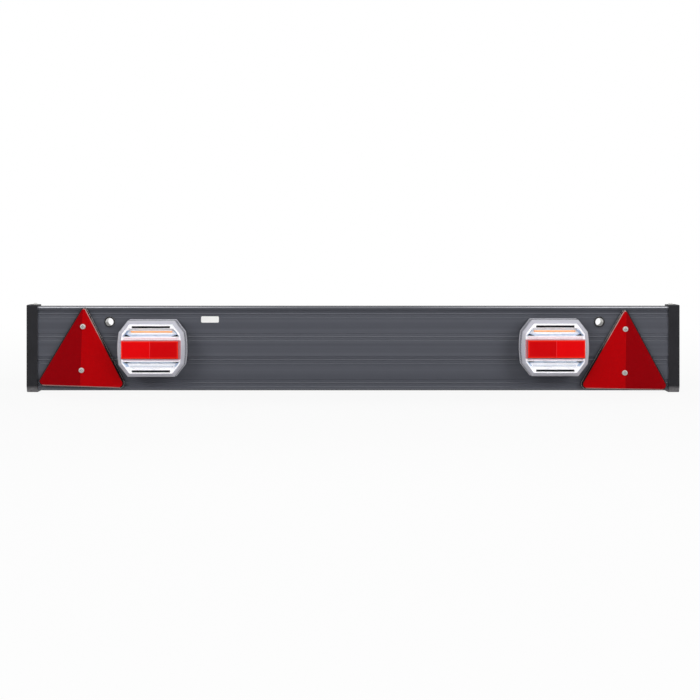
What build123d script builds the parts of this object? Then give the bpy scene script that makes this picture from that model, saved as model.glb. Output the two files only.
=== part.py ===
from build123d import *

import os
from math import sqrt

# Trailer lighting board, millimetres.
# X runs along the board, the lit face looks along -Y, Z is up.
# The origin is on the standing plane, under the middle of the overall box.

# Whole board; an inset along the board is measured from its end
BOARD_LENGTH = 1200.0
FIT = 0.1
OVERCUT = 1.0

# Hollow plank
PLANK_HEIGHT = 155.0
PLANK_THICKNESS = 25.0
PLANK_WALL = 2.2
PLANK_WEB = 1.8
PLANK_FRONT_RADIUS = 5.0
PLANK_BACK_RADIUS = 2.0
CHAMBER_RADIUS = 1.2
BAND_COUNT = 4
BAND_PITCH = 42.2
BAND_WIDTH = 13.5
BAND_DEPTH = 0.8
BEAD_WIDTH = 2.8

# End caps
CAP_WALL = 2.8
CAP_LENGTH = 20.0
CAP_END_WALL = 3.0
CAP_EDGE_RADIUS = 2.0
CAP_TOE_HEIGHT = 11.0
CAP_TOE_DEPTH = 3.4
CAP_SCREW_INSET = 7.0

# Screws with pan heads
CAP_SCREW_HEAD_RADIUS = 3.9
CAP_SCREW_HEAD_HEIGHT = 2.6
CAP_SCREW_RADIUS = 1.95
CAP_SCREW_LENGTH = 10.0
REFLECTOR_SCREW_HEAD_RADIUS = 4.9
REFLECTOR_SCREW_HEAD_HEIGHT = 3.2
REFLECTOR_SCREW_RADIUS = 2.2
REFLECTOR_SCREW_LENGTH = 21.0
DRIVE_WIDTH = 1.1
DRIVE_DEPTH = 1.3
DRIVE_SHARE = 0.6
HEAD_ROUND_SHARE = 0.6
TIP_SHARE = 0.6

# Bushes in the two mounting holes
MOUNT_INSET = {"left": 152.6, "right": 147.4}
MOUNT_LIFT = 48.8
BUSH_BORE_RADIUS = 7.25
BUSH_WALL = 1.5
BUSH_LIP_WIDTH = 1.2
BUSH_LIP_HEIGHT = 1.0
BUSH_LIP_ROUND = 0.5

# Blank label
LABEL_INSET = 337.0
LABEL_LIFT = 53.3
LABEL_WIDTH = 35.0
LABEL_HEIGHT = 14.0
LABEL_THICKNESS = 0.4
LABEL_RADIUS = 1.5

# Cable grommet in the back wall
GROMMET_BORE_RADIUS = 4.0
GROMMET_NECK_WALL = 2.5
GROMMET_LIP_WIDTH = 2.5
GROMMET_LIP_HEIGHT = 2.5
GROMMET_LIP_ROUND = 0.8

# Triangular reflectors
REFLECTOR_INSET = {"left": 104.3, "right": 102.2}
REFLECTOR_LIFT = {"left": 0.8, "right": -3.8}
REFLECTOR_TURN = {"left": -1.9, "right": -0.9}
REFLECTOR_BASE = 165.0
REFLECTOR_RISE = 148.7
REFLECTOR_TIP_RADIUS = 5.0
REFLECTOR_FOOT_RADIUS = 8.0
REFLECTOR_BACK = 2.5
REFLECTOR_LENS_DEPTH = 7.5
REFLECTOR_LEDGE_WIDTH = 1.2
REFLECTOR_LEDGE_HEIGHT = 2.0
REFLECTOR_LEDGE_ROUND = 0.5
REFLECTOR_BEVEL = 1.4
REFLECTOR_FACE = 2.4
REFLECTOR_RIM = 2.0
REFLECTOR_RIB = 1.6
REFLECTOR_BOSS_RADIUS = 6.5
REFLECTOR_SCREW_SPAN = 80.0
REFLECTOR_LOW_SCREW = 30.0

# Lamps: outline and cover
LAMP_INSET = 235.0
LAMP_LIFT = {"left": 2.6, "right": 4.0}
LAMP_WIDTH = 122.6
LAMP_HEIGHT = 102.0
LAMP_DEPTH = 45.0
LAMP_TOP_FLAT = 84.0
LAMP_SIDE_FLAT = 58.4
LAMP_SIDE_BOW = 2.5
LAMP_FIT = 0.4
LENS_WALL = 2.5
LENS_BEVEL = 5.5
LENS_ROUND = 0.8

# Lamps: base and what fixes it
GASKET_THICKNESS = 2.0
GASKET_INSET = 2.0
BASE_HEIGHT = 11.0
BASE_FLANGE = 2.5
BASE_FLOOR = 2.5
BASE_WALL = 2.0
BASE_SPIGOT = 6.0
STUD_SPAN = 80.0
STUD_RADIUS = 2.5
STUD_HEAD_RADIUS = 5.0
STUD_HEAD_HEIGHT = 3.5
STUD_TAIL = 9.0
STUD_HOLE_FIT = 0.25
STUD_CHAMFER = 0.5
WASHER_RADIUS = 5.0
WASHER_THICKNESS = 1.2
NUT_FLATS = 8.0
NUT_HEIGHT = 4.0
NUT_COLLAR_RADIUS = 3.6
NUT_COLLAR_HEIGHT = 1.4
GLAND_BORE_RADIUS = 3.0
GLAND_WALL = 2.5
GLAND_LIP_WIDTH = 2.5
GLAND_LIP_HEIGHT = 2.0
GLAND_REACH = 6.0

# Lamps: circuit board and diodes
CIRCUIT_WIDTH = 90.0
CIRCUIT_HEIGHT = 84.0
CIRCUIT_CORNER = 20.0
CIRCUIT_THICKNESS = 1.6
POST_RADIUS = 3.0
POST_HEIGHT = 5.5
POST_SPAN_X = 68.0
POST_SPAN_Y = 54.0
DIODE_SIZE = 3.0
DIODE_HEIGHT = 1.4
DIODE_PITCH = 9.0

# Lamps: red panel set in the cover
REFLEX_WIDTH = 103.0
REFLEX_HEIGHT = 31.6
REFLEX_LIFT = -1.8
REFLEX_SHIFT = 1.9
REFLEX_FLANGE = 1.5
REFLEX_FLANGE_WIDTH = 107.2
REFLEX_MARGIN = 1.2
REFLEX_SEAM = 1.0

# Lamps: bright tray with two troughs, two slits and two bar windows
TRAY_WALL = 2.0
TROUGH_DEPTH = 9.0
TROUGH_HEIGHT = 14.8
TROUGH_LONG = 104.0
TROUGH_SHORT = 81.0
TROUGH_SLOPE = 3.6
TROUGH_SKIN = 1.0
TROUGH_LIFT = {"indicator": 29.4, "fog": -31.0}
WEDGE_LENGTH = 14.0
WEDGE_HEIGHT = 3.4
WEDGE_INSET = 2.0
WEDGE_LEAN = 3.5
SLIT_LENGTH = 69.0
SLIT_HEIGHT = 3.0
SLIT_GAP = 0.8

# Lamps: light guides and bars
GUIDE_LENGTH = {"indicator": 75.0, "fog": 77.0}
GUIDE_HEIGHT = {"indicator": 4.2, "fog": 2.8}
GUIDE_SHIFT = 1.5
GUIDE_PROUD = 2.0
GUIDE_TAIL = 10.0
GUIDE_EAR = 2.0
GUIDE_ROUND = 1.0
BAR_LENGTH = 100.0
BAR_HEIGHT = {"tail": 5.8, "brake": 2.8}
BAR_LIFT = {"tail": 18.3, "brake": -20.6}
BAR_PROUD = 1.2
BAR_TAIL = 9.0
BAR_EAR = 3.0
BAR_EAR_THICKNESS = 1.5
BAR_ROUND = 0.9

# Places that follow from the sizes above
SIDES = {"left": -1, "right": 1}
BACK_REACH = max(CAP_WALL, STUD_TAIL, GROMMET_LIP_HEIGHT)
FRONT_Y = (LAMP_DEPTH - PLANK_THICKNESS - BACK_REACH) / 2
MIDDLE_Y = FRONT_Y + PLANK_THICKNESS / 2
BACK_Y = FRONT_Y + PLANK_THICKNESS
MIDDLE_Z = CAP_WALL + PLANK_HEIGHT / 2
PLANK_LENGTH = BOARD_LENGTH - 2 * CAP_END_WALL
BAND_LIFTS = [(i - (BAND_COUNT - 1) / 2) * BAND_PITCH for i in range(BAND_COUNT)]
BUSH_RADIUS = BUSH_BORE_RADIUS + BUSH_WALL
GROMMET_NECK_RADIUS = GROMMET_BORE_RADIUS + GROMMET_NECK_WALL
GLAND_RADIUS = GLAND_BORE_RADIUS + GLAND_WALL
REFLECTOR_FRONT = REFLECTOR_BACK + REFLECTOR_LENS_DEPTH
SCREW_LIFTS = (-REFLECTOR_SCREW_SPAN / 2, REFLECTOR_SCREW_SPAN / 2)
STUD_PLACES = (-STUD_SPAN / 2, STUD_SPAN / 2)
BASE_SEAT = GASKET_THICKNESS + BASE_HEIGHT
BASE_INSIDE = GASKET_THICKNESS + BASE_FLOOR
CIRCUIT_BACK = BASE_INSIDE + POST_HEIGHT
CIRCUIT_FRONT = CIRCUIT_BACK + CIRCUIT_THICKNESS
LENS_INSIDE = LAMP_DEPTH - LENS_WALL
TRAY_FRONT = LENS_INSIDE - REFLEX_FLANGE
TRAY_INSET = LENS_WALL + LAMP_FIT
SPIGOT_INSET = TRAY_INSET + TRAY_WALL + LAMP_FIT
TROUGH_FLOOR = TRAY_FRONT - TROUGH_DEPTH
BOARD_END = BOARD_LENGTH / 2
LABEL_X = LABEL_INSET - BOARD_END
LAMP_X = BOARD_END - LAMP_INSET
CAP_SCREW_X = BOARD_END - CAP_LENGTH + CAP_SCREW_INSET
CAP_TOP_Z = PLANK_HEIGHT + 2 * CAP_WALL


def on_front(x, lift, turn=0.0):
    """Place on the plank's front face: local x along the board, y up, z out of the face."""
    return Location((x, FRONT_Y, MIDDLE_Z + lift), (90, 0, 0)) * Rotation(0, 0, turn)


def on_back(x, lift):
    """Place on the plank's back face: local z out of the face."""
    return Location((x, BACK_Y, MIDDLE_Z + lift), (-90, 0, 0))


def prism(sketch, low, high):
    """The sketch drawn out between two distances from its plane."""
    return Pos(0, 0, low) * extrude(sketch, high - low, dir=(0, 0, 1))


def rod(radius, low, high):
    """A round bar along local z between two distances."""
    return prism(Circle(radius), low, high)


def frustum(sketch, low, high, slope):
    """A tapered block, the sketch at its high end and the sketch drawn in by the slope at its low end."""
    small = offset(sketch, -slope, kind=Kind.INTERSECTION)
    return loft([Pos(0, 0, low) * small, Pos(0, 0, high) * sketch], ruled=True)


def pan_screw(radius, length, head_radius, head_height):
    """A pan-head screw standing in its seat plane, with a cross drive and a tapered tip."""
    head = rod(head_radius, 0, head_height)
    head = fillet(head.edges().group_by(Axis.Z)[-1], head_height * HEAD_ROUND_SHARE)
    shank = rod(radius, -length, 0)
    shank = chamfer(shank.edges().group_by(Axis.Z)[0], radius * TIP_SHARE)
    slot = Box(head_radius * 2 * DRIVE_SHARE, DRIVE_WIDTH, DRIVE_DEPTH)
    drive = slot + Rotation(0, 0, 90) * slot
    return head + shank - Pos(0, 0, head_height - DRIVE_DEPTH / 2) * drive


def plank_outline(grow=0.0):
    """Plain section of the plank, front face at local -x, grown all round by a fit."""
    outline = Rectangle(PLANK_THICKNESS + 2 * grow, PLANK_HEIGHT + 2 * grow)
    outline = fillet(outline.vertices().group_by(Axis.X)[0], PLANK_FRONT_RADIUS + grow)
    return fillet(outline.vertices().group_by(Axis.X)[-1], PLANK_BACK_RADIUS + grow)


def band_recess():
    """One shallow band of the front face, with a rounded bead left standing along its middle."""
    half = BAND_WIDTH / 2
    mouth = Polygon((-OVERCUT, half), (0, half), (BAND_DEPTH, half - BAND_DEPTH),
                    (BAND_DEPTH, BAND_DEPTH - half), (0, -half), (-OVERCUT, -half), align=None)
    bead_radius = (BEAD_WIDTH ** 2 / 4 + BAND_DEPTH ** 2) / (2 * BAND_DEPTH)
    return mouth - Pos(bead_radius, 0) * Circle(bead_radius)


def plank_section():
    """Section of the plank: banded front, plain back and a row of chambers between webs."""
    section = plank_outline()
    for lift in BAND_LIFTS:
        section -= Pos(-PLANK_THICKNESS / 2, lift) * band_recess()
    edge = PLANK_HEIGHT / 2 - PLANK_WALL
    lows = [-edge] + [lift + PLANK_WEB / 2 for lift in BAND_LIFTS]
    highs = [lift - PLANK_WEB / 2 for lift in BAND_LIFTS] + [edge]
    for low, high in zip(lows, highs):
        chamber = RectangleRounded(PLANK_THICKNESS - 2 * PLANK_WALL, high - low, CHAMBER_RADIUS)
        section -= Pos(0, (low + high) / 2) * chamber
    return section


def board_profile():
    """The plank cut to length, with a hole for everything that passes through its walls."""
    plank = extrude(Plane.YZ * plank_section(), PLANK_LENGTH / 2, both=True)
    plank = Pos(0, MIDDLE_Y, MIDDLE_Z) * plank
    half_way = -PLANK_THICKNESS / 2
    through = -PLANK_THICKNESS - OVERCUT
    for side, sign in SIDES.items():
        plank -= mount_place(side) * rod(BUSH_RADIUS + FIT, through, OVERCUT)
        lamp = on_front(sign * LAMP_X, LAMP_LIFT[side])
        plank -= lamp * rod(GLAND_RADIUS + FIT, half_way, OVERCUT)
        for x in STUD_PLACES:
            plank -= lamp * Pos(x, 0) * rod(STUD_RADIUS + STUD_HOLE_FIT, through, OVERCUT)
        for lift in SCREW_LIFTS:
            hole = rod(REFLECTOR_SCREW_RADIUS + FIT, half_way, OVERCUT)
            plank -= reflector_place(side) * Pos(0, lift) * hole
        plank -= cap_screw_place(sign) * rod(CAP_SCREW_RADIUS + FIT, -CAP_SCREW_LENGTH - OVERCUT, OVERCUT)
    return plank - on_back(0, 0) * rod(GROMMET_NECK_RADIUS + FIT, half_way, OVERCUT)


def cap_screw_place(sign):
    """Seat of a cap screw, on top of the cap and in the middle of its depth."""
    return Location((sign * CAP_SCREW_X, MIDDLE_Y, CAP_TOP_Z))


def end_cap(sign):
    """A moulded cap that wraps the plank's end, bevelled along its front lower edge."""
    front = -PLANK_THICKNESS / 2 - CAP_WALL
    top = PLANK_HEIGHT / 2 + CAP_WALL
    outline = Polygon((front, top), (-front, top), (-front, -top), (front + CAP_TOE_DEPTH, -top),
                      (front, -top + CAP_TOE_HEIGHT), align=None)
    corners = outline.vertices()
    heel = corners.group_by(Axis.X)[-1].sort_by(Axis.Y)[0]
    outline = fillet(corners.group_by(Axis.Y)[-1] + [heel], CAP_EDGE_RADIUS)
    block = extrude(Plane.YZ * outline, CAP_LENGTH, dir=(1, 0, 0))
    block = fillet(block.faces().sort_by(Axis.X)[-1].edges(), CAP_EDGE_RADIUS)
    block -= extrude(Plane.YZ * plank_outline(FIT), CAP_LENGTH - CAP_END_WALL, dir=(1, 0, 0))
    block = Pos(BOARD_END - CAP_LENGTH, MIDDLE_Y, MIDDLE_Z) * block
    block -= cap_screw_place(1) * rod(CAP_SCREW_RADIUS + FIT, -CAP_WALL - OVERCUT, OVERCUT)
    return block if sign > 0 else mirror(block, about=Plane.YZ)


def end_cap_screws():
    """Both cap screws."""
    screw = pan_screw(CAP_SCREW_RADIUS, CAP_SCREW_LENGTH, CAP_SCREW_HEAD_RADIUS, CAP_SCREW_HEAD_HEIGHT)
    return [cap_screw_place(sign) * screw for sign in SIDES.values()]


def mount_place(side):
    """Place of a mounting hole on the front face."""
    return on_front(SIDES[side] * (BOARD_END - MOUNT_INSET[side]), MOUNT_LIFT)


def mount_bush(side):
    """A lipped bush through the plank, bored for the mounting bolt."""
    lip = rod(BUSH_RADIUS + BUSH_LIP_WIDTH, 0, BUSH_LIP_HEIGHT)
    lip = fillet(lip.edges().group_by(Axis.Z)[-1], BUSH_LIP_ROUND)
    bush = rod(BUSH_RADIUS, -PLANK_THICKNESS, 0) + lip
    bush -= rod(BUSH_BORE_RADIUS, -PLANK_THICKNESS, BUSH_LIP_HEIGHT)
    return mount_place(side) * bush


def blank_label():
    """A plain rounded label on the front face."""
    label = extrude(RectangleRounded(LABEL_WIDTH, LABEL_HEIGHT, LABEL_RADIUS), LABEL_THICKNESS)
    return on_front(LABEL_X, LABEL_LIFT) * label


def cable_grommet():
    """A rubber grommet that clips into the back wall, a lip on each side of it."""
    inner = -PLANK_WALL - GROMMET_LIP_HEIGHT
    lip = rod(GROMMET_NECK_RADIUS + GROMMET_LIP_WIDTH, 0, GROMMET_LIP_HEIGHT)
    lip = fillet(lip.edges().group_by(Axis.Z)[-1], GROMMET_LIP_ROUND)
    grommet = rod(GROMMET_NECK_RADIUS, inner, GROMMET_LIP_HEIGHT) + lip
    grommet += Pos(0, 0, -PLANK_WALL) * mirror(lip, about=Plane.XY)
    return on_back(0, 0) * (grommet - rod(GROMMET_BORE_RADIUS, inner, GROMMET_LIP_HEIGHT))


def reflector_place(side):
    """Place of a reflector: the point halfway between its two screws."""
    x = SIDES[side] * (BOARD_END - REFLECTOR_INSET[side])
    return on_front(x, REFLECTOR_LIFT[side], REFLECTOR_TURN[side])


def reflector_outline(inset=0.0):
    """Rounded triangle about the point halfway between the screws, drawn in by the inset."""
    foot = SCREW_LIFTS[0] - REFLECTOR_LOW_SCREW
    half = REFLECTOR_BASE / 2
    triangle = Polygon((-half, foot), (half, foot), (0, foot + REFLECTOR_RISE), align=None)
    triangle = offset(triangle, -inset, kind=Kind.INTERSECTION) if inset else triangle
    triangle = fillet(triangle.vertices().group_by(Axis.Y)[0], REFLECTOR_FOOT_RADIUS - inset)
    return fillet(triangle.vertices().sort_by(Axis.Y)[-1], REFLECTOR_TIP_RADIUS - inset)


def reflector_lens(side):
    """The red lens: a bevelled tray on a ledge, with a rib down its middle and a boss at each screw."""
    lens = prism(reflector_outline(), REFLECTOR_BACK, REFLECTOR_FRONT)
    lens = chamfer(lens.faces().sort_by(Axis.Z)[-1].edges(), REFLECTOR_BEVEL)
    foot = reflector_outline(-REFLECTOR_LEDGE_WIDTH)
    ledge = prism(foot, REFLECTOR_BACK, REFLECTOR_BACK + REFLECTOR_LEDGE_HEIGHT)
    lens += fillet(ledge.faces().sort_by(Axis.Z)[-1].edges(), REFLECTOR_LEDGE_ROUND)
    inside = prism(reflector_outline(REFLECTOR_RIM), REFLECTOR_BACK, REFLECTOR_FRONT - REFLECTOR_FACE)
    inside -= prism(Rectangle(REFLECTOR_RIB, 2 * REFLECTOR_RISE), REFLECTOR_BACK, REFLECTOR_FRONT)
    for lift in SCREW_LIFTS:
        inside -= Pos(0, lift) * rod(REFLECTOR_BOSS_RADIUS, REFLECTOR_BACK, REFLECTOR_FRONT)
    return reflector_place(side) * drilled(lens - inside, REFLECTOR_BACK, REFLECTOR_FRONT)


def reflector_back(side):
    """The flat black back plate of a reflector, as wide as the lens's ledge."""
    plate = prism(reflector_outline(-REFLECTOR_LEDGE_WIDTH), 0, REFLECTOR_BACK)
    return reflector_place(side) * drilled(plate, 0, REFLECTOR_BACK)


def drilled(piece, low, high):
    """A reflector piece with its two screw holes."""
    for lift in SCREW_LIFTS:
        piece -= Pos(0, lift) * rod(REFLECTOR_SCREW_RADIUS + FIT, low - OVERCUT, high + OVERCUT)
    return piece


def reflector_screws(side):
    """Both screws of a reflector, their heads on the lens."""
    screw = pan_screw(REFLECTOR_SCREW_RADIUS, REFLECTOR_SCREW_LENGTH,
                      REFLECTOR_SCREW_HEAD_RADIUS, REFLECTOR_SCREW_HEAD_HEIGHT)
    return [reflector_place(side) * Pos(0, lift, REFLECTOR_FRONT) * screw for lift in SCREW_LIFTS]


def lamp_outline(inset=0.0):
    """Octagon with bowed sides, drawn in by the inset."""
    side = LAMP_WIDTH / 2 - LAMP_SIDE_BOW
    flat = LAMP_SIDE_FLAT / 2
    top = LAMP_HEIGHT / 2
    edge = LAMP_TOP_FLAT / 2
    outline = make_face([
        ThreePointArc((side, -flat), (side + LAMP_SIDE_BOW, 0), (side, flat)),
        Line((side, flat), (edge, top)),
        Line((edge, top), (-edge, top)),
        Line((-edge, top), (-side, flat)),
        ThreePointArc((-side, flat), (-side - LAMP_SIDE_BOW, 0), (-side, -flat)),
        Line((-side, -flat), (-edge, -top)),
        Line((-edge, -top), (edge, -top)),
        Line((edge, -top), (side, -flat)),
    ])
    return offset(outline, -inset, kind=Kind.INTERSECTION) if inset else outline


def cover_block(inset, front):
    """A block with the cover's bevelled form, lying the inset under its outside all round."""
    block = prism(lamp_outline(inset), BASE_SEAT, front)
    bevel = front - (LAMP_DEPTH - LENS_BEVEL) + inset * (sqrt(2) - 1)
    return chamfer(block.faces().sort_by(Axis.Z)[-1].edges(), bevel)


def lamp_base():
    """The lamp's base: a shallow box with a flange for the cover, a spigot and four posts."""
    base = prism(lamp_outline(), GASKET_THICKNESS, BASE_SEAT)
    base += prism(lamp_outline(SPIGOT_INSET), GASKET_THICKNESS, BASE_SEAT + BASE_SPIGOT)
    base -= prism(lamp_outline(SPIGOT_INSET + BASE_WALL), BASE_INSIDE, BASE_SEAT + BASE_SPIGOT)
    base -= prism(lamp_outline(BASE_WALL), BASE_INSIDE, BASE_SEAT - BASE_FLANGE)
    for place in GridLocations(POST_SPAN_X, POST_SPAN_Y, 2, 2):
        base += place * rod(POST_RADIUS, BASE_INSIDE, CIRCUIT_BACK)
    for x in STUD_PLACES:
        base -= Pos(x, 0) * rod(STUD_RADIUS + FIT, 0, BASE_INSIDE)
    return base - rod(GLAND_RADIUS + FIT, 0, BASE_INSIDE)


def lamp_gasket():
    """A foam pad between the base and the plank."""
    gasket = prism(lamp_outline(GASKET_INSET), 0, GASKET_THICKNESS)
    for x in STUD_PLACES:
        gasket -= Pos(x, 0) * rod(STUD_RADIUS + FIT, 0, GASKET_THICKNESS)
    return gasket - rod(GLAND_RADIUS + FIT, 0, GASKET_THICKNESS)


def lamp_gland():
    """A rubber gland for the lamp's lead, from inside the base through the plank's front wall."""
    gland = rod(GLAND_RADIUS, -PLANK_WALL - GLAND_REACH, BASE_INSIDE + GLAND_LIP_HEIGHT)
    gland += rod(GLAND_RADIUS + GLAND_LIP_WIDTH, BASE_INSIDE, BASE_INSIDE + GLAND_LIP_HEIGHT)
    return gland - rod(GLAND_BORE_RADIUS, -PLANK_WALL - GLAND_REACH, BASE_INSIDE + GLAND_LIP_HEIGHT)


def lamp_studs():
    """The two studs that hold the lamp, headed inside the base and reaching out of the plank's back."""
    stud = rod(STUD_RADIUS, -PLANK_THICKNESS - STUD_TAIL, BASE_INSIDE)
    stud = chamfer(stud.edges().group_by(Axis.Z)[0], STUD_CHAMFER)
    stud += rod(STUD_HEAD_RADIUS, BASE_INSIDE, BASE_INSIDE + STUD_HEAD_HEIGHT)
    return [Pos(x, 0) * stud for x in STUD_PLACES]


def lamp_washers():
    """Washers under the stud nuts, against the plank's back face."""
    back = -PLANK_THICKNESS
    washer = rod(WASHER_RADIUS, back - WASHER_THICKNESS, back)
    washer -= rod(STUD_RADIUS + FIT, back - WASHER_THICKNESS, back)
    return [Pos(x, 0) * washer for x in STUD_PLACES]


def lamp_nuts():
    """Self-locking nuts, each with a round collar over its hexagon."""
    seat = -PLANK_THICKNESS - WASHER_THICKNESS
    hexagon = RegularPolygon(NUT_FLATS / 2, 6, major_radius=False)
    nut = prism(hexagon, seat - NUT_HEIGHT, seat)
    nut += rod(NUT_COLLAR_RADIUS, seat - NUT_HEIGHT - NUT_COLLAR_HEIGHT, seat - NUT_HEIGHT)
    nut -= rod(STUD_RADIUS + FIT, seat - NUT_HEIGHT - NUT_COLLAR_HEIGHT, seat)
    return [Pos(x, 0) * nut for x in STUD_PLACES]


def lamp_circuit_board():
    """The circuit board on its four posts."""
    outline = Rectangle(CIRCUIT_WIDTH, CIRCUIT_HEIGHT)
    outline = chamfer(outline.vertices(), CIRCUIT_CORNER)
    return prism(outline, CIRCUIT_BACK, CIRCUIT_FRONT)


def light_rows():
    """Height of each row of diodes and the length of what it lights."""
    guides = [(guide_lift(name), GUIDE_LENGTH[name]) for name in TROUGH_LIFT]
    bars = [(BAR_LIFT[name], BAR_LENGTH) for name in BAR_LIFT]
    return guides + bars


def lamp_diodes():
    """Rows of diodes under the guides and bars, as many as fit on the circuit board."""
    diodes = []
    for lift, length in light_rows():
        span = min(length, CIRCUIT_WIDTH - 2 * DIODE_SIZE)
        for place in GridLocations(DIODE_PITCH, 1, int(span / DIODE_PITCH), 1):
            block = prism(Rectangle(DIODE_SIZE, DIODE_SIZE), CIRCUIT_FRONT, CIRCUIT_FRONT + DIODE_HEIGHT)
            diodes.append(Pos(0, lift) * place * block)
    return diodes


def outward(name):
    """Direction from the red panel to a trough: up or down."""
    return 1 if TROUGH_LIFT[name] > 0 else -1


def guide_lift(name):
    """Height of a light guide, a little beyond the middle of its trough."""
    return TROUGH_LIFT[name] + outward(name) * GUIDE_SHIFT


def trough_outline(name):
    """Mouth of a trough: its long edge faces the red panel and its ends follow the octagon's corners."""
    middle = TROUGH_LIFT[name]
    half = outward(name) * TROUGH_HEIGHT / 2
    corners = [(-TROUGH_LONG / 2, middle - half), (TROUGH_LONG / 2, middle - half),
               (TROUGH_SHORT / 2, middle + half), (-TROUGH_SHORT / 2, middle + half)]
    return Polygon(*corners, align=None)


def slit_lift(name):
    """Height of the slit that lies beyond a trough's outer edge."""
    reach = TROUGH_HEIGHT / 2 + SLIT_GAP + SLIT_HEIGHT / 2
    return TROUGH_LIFT[name] + outward(name) * reach


def trough_wedges(name):
    """The two three-cornered windows at the ends of a trough's long wall."""
    edge = TROUGH_LIFT[name] - outward(name) * TROUGH_HEIGHT / 2
    crest = edge + outward(name) * WEDGE_HEIGHT
    end = TROUGH_LONG / 2 - WEDGE_INSET
    wedge = Polygon((end, edge), (end - WEDGE_LEAN, crest), (end - WEDGE_LENGTH, edge), align=None)
    return [wedge, mirror(wedge, about=Plane.YZ)]


def lamp_tray():
    """The bright tray: a bevelled shell with two troughs, their slits and wedges, and bar windows."""
    tray = cover_block(TRAY_INSET, TRAY_FRONT)
    tray -= cover_block(TRAY_INSET + TRAY_WALL, TRAY_FRONT - TRAY_WALL)
    plate_back = TRAY_FRONT - TRAY_WALL
    for name in TROUGH_LIFT:
        mouth = trough_outline(name)
        skin = offset(mouth, TROUGH_SKIN, kind=Kind.INTERSECTION)
        tray += frustum(skin, TROUGH_FLOOR - TROUGH_SKIN, TRAY_FRONT, TROUGH_SLOPE)
    for name in TROUGH_LIFT:
        tray -= frustum(trough_outline(name), TROUGH_FLOOR, TRAY_FRONT, TROUGH_SLOPE)
        slot = Rectangle(GUIDE_LENGTH[name] + 2 * FIT, GUIDE_HEIGHT[name] + 2 * FIT)
        tray -= Pos(0, guide_lift(name)) * prism(slot, TROUGH_FLOOR - TROUGH_SKIN, TROUGH_FLOOR)
        for wedge in trough_wedges(name):
            tray -= prism(wedge, TROUGH_FLOOR - TROUGH_SKIN, TRAY_FRONT)
        tray -= Pos(0, slit_lift(name)) * prism(Rectangle(SLIT_LENGTH, SLIT_HEIGHT), plate_back, TRAY_FRONT)
    for name in BAR_LIFT:
        window = Rectangle(BAR_LENGTH + 2 * FIT, BAR_HEIGHT[name] + 2 * FIT)
        tray -= Pos(0, BAR_LIFT[name]) * prism(window, plate_back, TRAY_FRONT)
    return tray


def light_guide(name):
    """A clear strip through a trough's floor, with an ear at each end behind the floor."""
    seat = TROUGH_FLOOR - TROUGH_SKIN
    strip = Rectangle(GUIDE_LENGTH[name], GUIDE_HEIGHT[name])
    guide = prism(strip, seat - GUIDE_TAIL, TROUGH_FLOOR + GUIDE_PROUD)
    guide = fillet(guide.edges().group_by(Axis.Z)[-1].filter_by(Axis.X), GUIDE_ROUND)
    ears = Rectangle(GUIDE_LENGTH[name] + 2 * GUIDE_EAR, GUIDE_HEIGHT[name])
    guide += prism(ears, seat - GUIDE_EAR, seat)
    return Pos(0, guide_lift(name)) * guide


def light_bar(name):
    """A frosted bar through a window of the tray, with an ear at each end behind the plate."""
    seat = TRAY_FRONT - TRAY_WALL
    bar = prism(Rectangle(BAR_LENGTH, BAR_HEIGHT[name]), seat - BAR_TAIL, TRAY_FRONT + BAR_PROUD)
    bar = fillet(bar.edges().group_by(Axis.Z)[-1].filter_by(Axis.X), BAR_ROUND)
    bar += prism(Rectangle(BAR_LENGTH + 2 * BAR_EAR, BAR_HEIGHT[name]), seat - BAR_EAR_THICKNESS, seat)
    return Pos(0, BAR_LIFT[name]) * bar


def lamp_reflex_panel(sign):
    """The red panel: flush in the cover's window, a flange behind the cover, a seam down the middle."""
    panel = prism(Rectangle(REFLEX_WIDTH, REFLEX_HEIGHT), TRAY_FRONT, LAMP_DEPTH)
    flange = Rectangle(REFLEX_FLANGE_WIDTH, REFLEX_HEIGHT + 2 * REFLEX_MARGIN)
    panel += Pos(-sign * REFLEX_SHIFT) * prism(flange, TRAY_FRONT, LENS_INSIDE)
    seam = Rotation(0, 0, 45) * Rectangle(REFLEX_SEAM / sqrt(2), REFLEX_SEAM / sqrt(2))
    cut = extrude(Plane.XZ * seam, REFLEX_HEIGHT, both=True)
    return Pos(sign * REFLEX_SHIFT, REFLEX_LIFT) * (panel - Pos(0, 0, LAMP_DEPTH) * cut)


def lamp_lens(sign):
    """The clear cover: a bevelled octagonal cup with rounded edges and a window for the red panel."""
    lens = cover_block(0, LAMP_DEPTH)
    lens = fillet(lens.edges() - lens.edges().group_by(Axis.Z)[0], LENS_ROUND)
    lens -= cover_block(LENS_WALL, LENS_INSIDE)
    window = Rectangle(REFLEX_WIDTH + 2 * FIT, REFLEX_HEIGHT + 2 * FIT)
    return lens - Pos(sign * REFLEX_SHIFT, REFLEX_LIFT) * prism(window, LENS_INSIDE, LAMP_DEPTH)


def lamp_pieces(sign):
    """Every piece of one end's lamp, about the lamp's middle on the plank's front face."""
    return {
        "base": lamp_base(),
        "gasket": lamp_gasket(),
        "gland": lamp_gland(),
        "studs": lamp_studs(),
        "washers": lamp_washers(),
        "nuts": lamp_nuts(),
        "circuit_board": lamp_circuit_board(),
        "diodes": lamp_diodes(),
        "tray": lamp_tray(),
        "indicator_guide": light_guide("indicator"),
        "fog_guide": light_guide("fog"),
        "tail_bar": light_bar("tail"),
        "brake_bar": light_bar("brake"),
        "reflex_panel": lamp_reflex_panel(sign),
        "lens": lamp_lens(sign),
    }


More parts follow.
